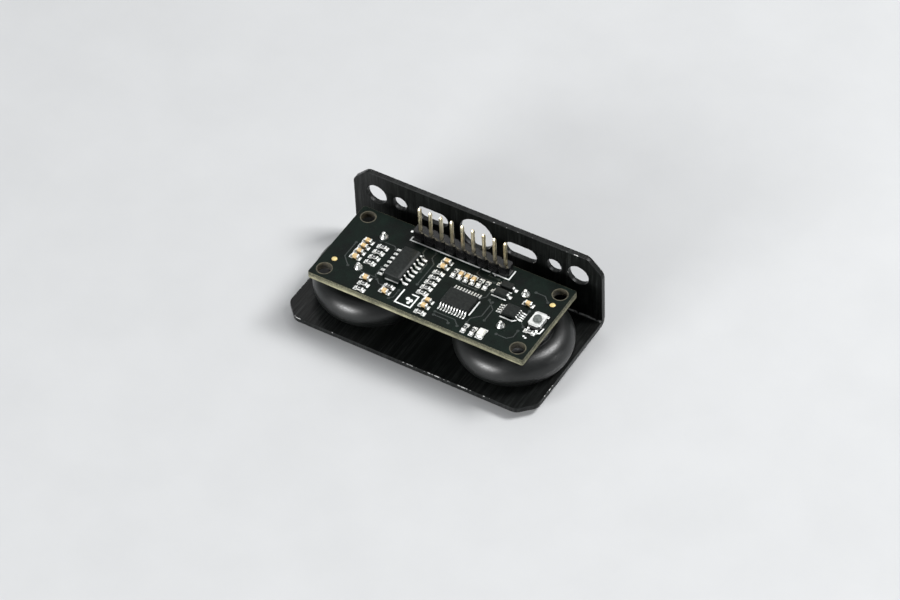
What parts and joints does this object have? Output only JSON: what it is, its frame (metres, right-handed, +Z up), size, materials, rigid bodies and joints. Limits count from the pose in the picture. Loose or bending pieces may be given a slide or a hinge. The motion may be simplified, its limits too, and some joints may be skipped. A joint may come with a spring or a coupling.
{
  "type": "ultrasonic distance sensor",
  "caption": "Ultrasonic ranging board with two round transducers in rubber grommets, an upright pin header and a push button, held in a bent L-shaped aluminium bracket.",
  "frame": {"origin": "middle of the whole outline seen from above, bracket and grommets together, on the surface that the transducer faces stand on", "axes": "+X along the board and the bracket, towards the button; +Y towards the upright; +Z up, from the transducer faces to the header pins"},
  "size_m": [0.0602, 0.0308, 0.0225],
  "materials": {
    "black_anodised": "black anodised sheet aluminium, brushed, satin, edges a little worn",
    "rubber_black": "soft black rubber, satin",
    "board_black": "black solder mask over glass laminate, pale cut edges",
    "can_aluminium": "drawn aluminium, satin",
    "screen_steel": "fine woven wire mesh",
    "horn_aluminium": "thin pressed aluminium",
    "piezo_brass": "brass disc with a ceramic face",
    "phenolic_grey": "grey potting resin",
    "pin_tinned": "tinned wire",
    "header_plastic": "glossy black moulding",
    "pin_gold": "pale gold plate",
    "epoxy_black": "moulded black epoxy, fine grained",
    "switch_plastic": "black moulding",
    "switch_metal": "pressed bright steel",
    "plunger_plastic": "dark grey moulding",
    "led_white": "white package with a clear window",
    "ceramic_tan": "tan ceramic with tinned ends",
    "resistor_black": "black glaze with tinned ends"
  },
  "bodies": {
    "sensor": {"bracket": "black_anodised", "grommet_left": "rubber_black", "grommet_right": "rubber_black", "pcb": "board_black", "transducer_left_can": "can_aluminium", "transducer_left_screen": "screen_steel", "transducer_left_horn": "horn_aluminium", "transducer_left_piezo": "piezo_brass", "transducer_left_base": "phenolic_grey", "transducer_left_pin_front": "pin_tinned", "transducer_left_pin_back": "pin_tinned", "transducer_right_can": "can_aluminium", "transducer_right_screen": "screen_steel", "transducer_right_horn": "horn_aluminium", "transducer_right_piezo": "piezo_brass", "transducer_right_base": "phenolic_grey", "transducer_right_pin_front": "pin_tinned", "transducer_right_pin_back": "pin_tinned", "header_base": "header_plastic", "header_pin_1": "pin_gold", "header_pin_2": "pin_gold", "header_pin_3": "pin_gold", "header_pin_4": "pin_gold", "header_pin_5": "pin_gold", "header_pin_6": "pin_gold", "header_pin_7": "pin_gold", "header_pin_8": "pin_gold", "header_pin_9": "pin_gold", "ic_amplifier": "epoxy_black", "ic_controller": "epoxy_black", "ic_comparator": "epoxy_black", "diode_1": "epoxy_black", "diode_2": "epoxy_black", "led": "led_white", "switch_base": "switch_plastic", "switch_dome": "switch_metal", "switch_cover": "switch_metal", "capacitor_01": "ceramic_tan", "capacitor_02": "ceramic_tan", "capacitor_03": "ceramic_tan", "capacitor_04": "ceramic_tan", "capacitor_05": "ceramic_tan", "capacitor_06": "ceramic_tan", "capacitor_07": "ceramic_tan", "capacitor_08": "ceramic_tan", "capacitor_09": "ceramic_tan", "capacitor_10": "ceramic_tan", "capacitor_11": "ceramic_tan", "capacitor_12": "ceramic_tan", "capacitor_13": "ceramic_tan", "capacitor_14": "ceramic_tan", "resistor_01": "resistor_black", "resistor_02": "resistor_black", "resistor_03": "resistor_black", "resistor_04": "resistor_black", "resistor_05": "resistor_black", "resistor_06": "resistor_black", "resistor_07": "resistor_black", "resistor_08": "resistor_black"},
    "button": {"switch_plunger": "plunger_plastic"}
  },
  "joints": [
    {"name": "button_press", "type": "slide", "parent": "sensor", "child": "button", "axis": [0, 0, -1], "range_m": [0, 0.00025], "stiffness_N_per_m": 6400}
  ]
}
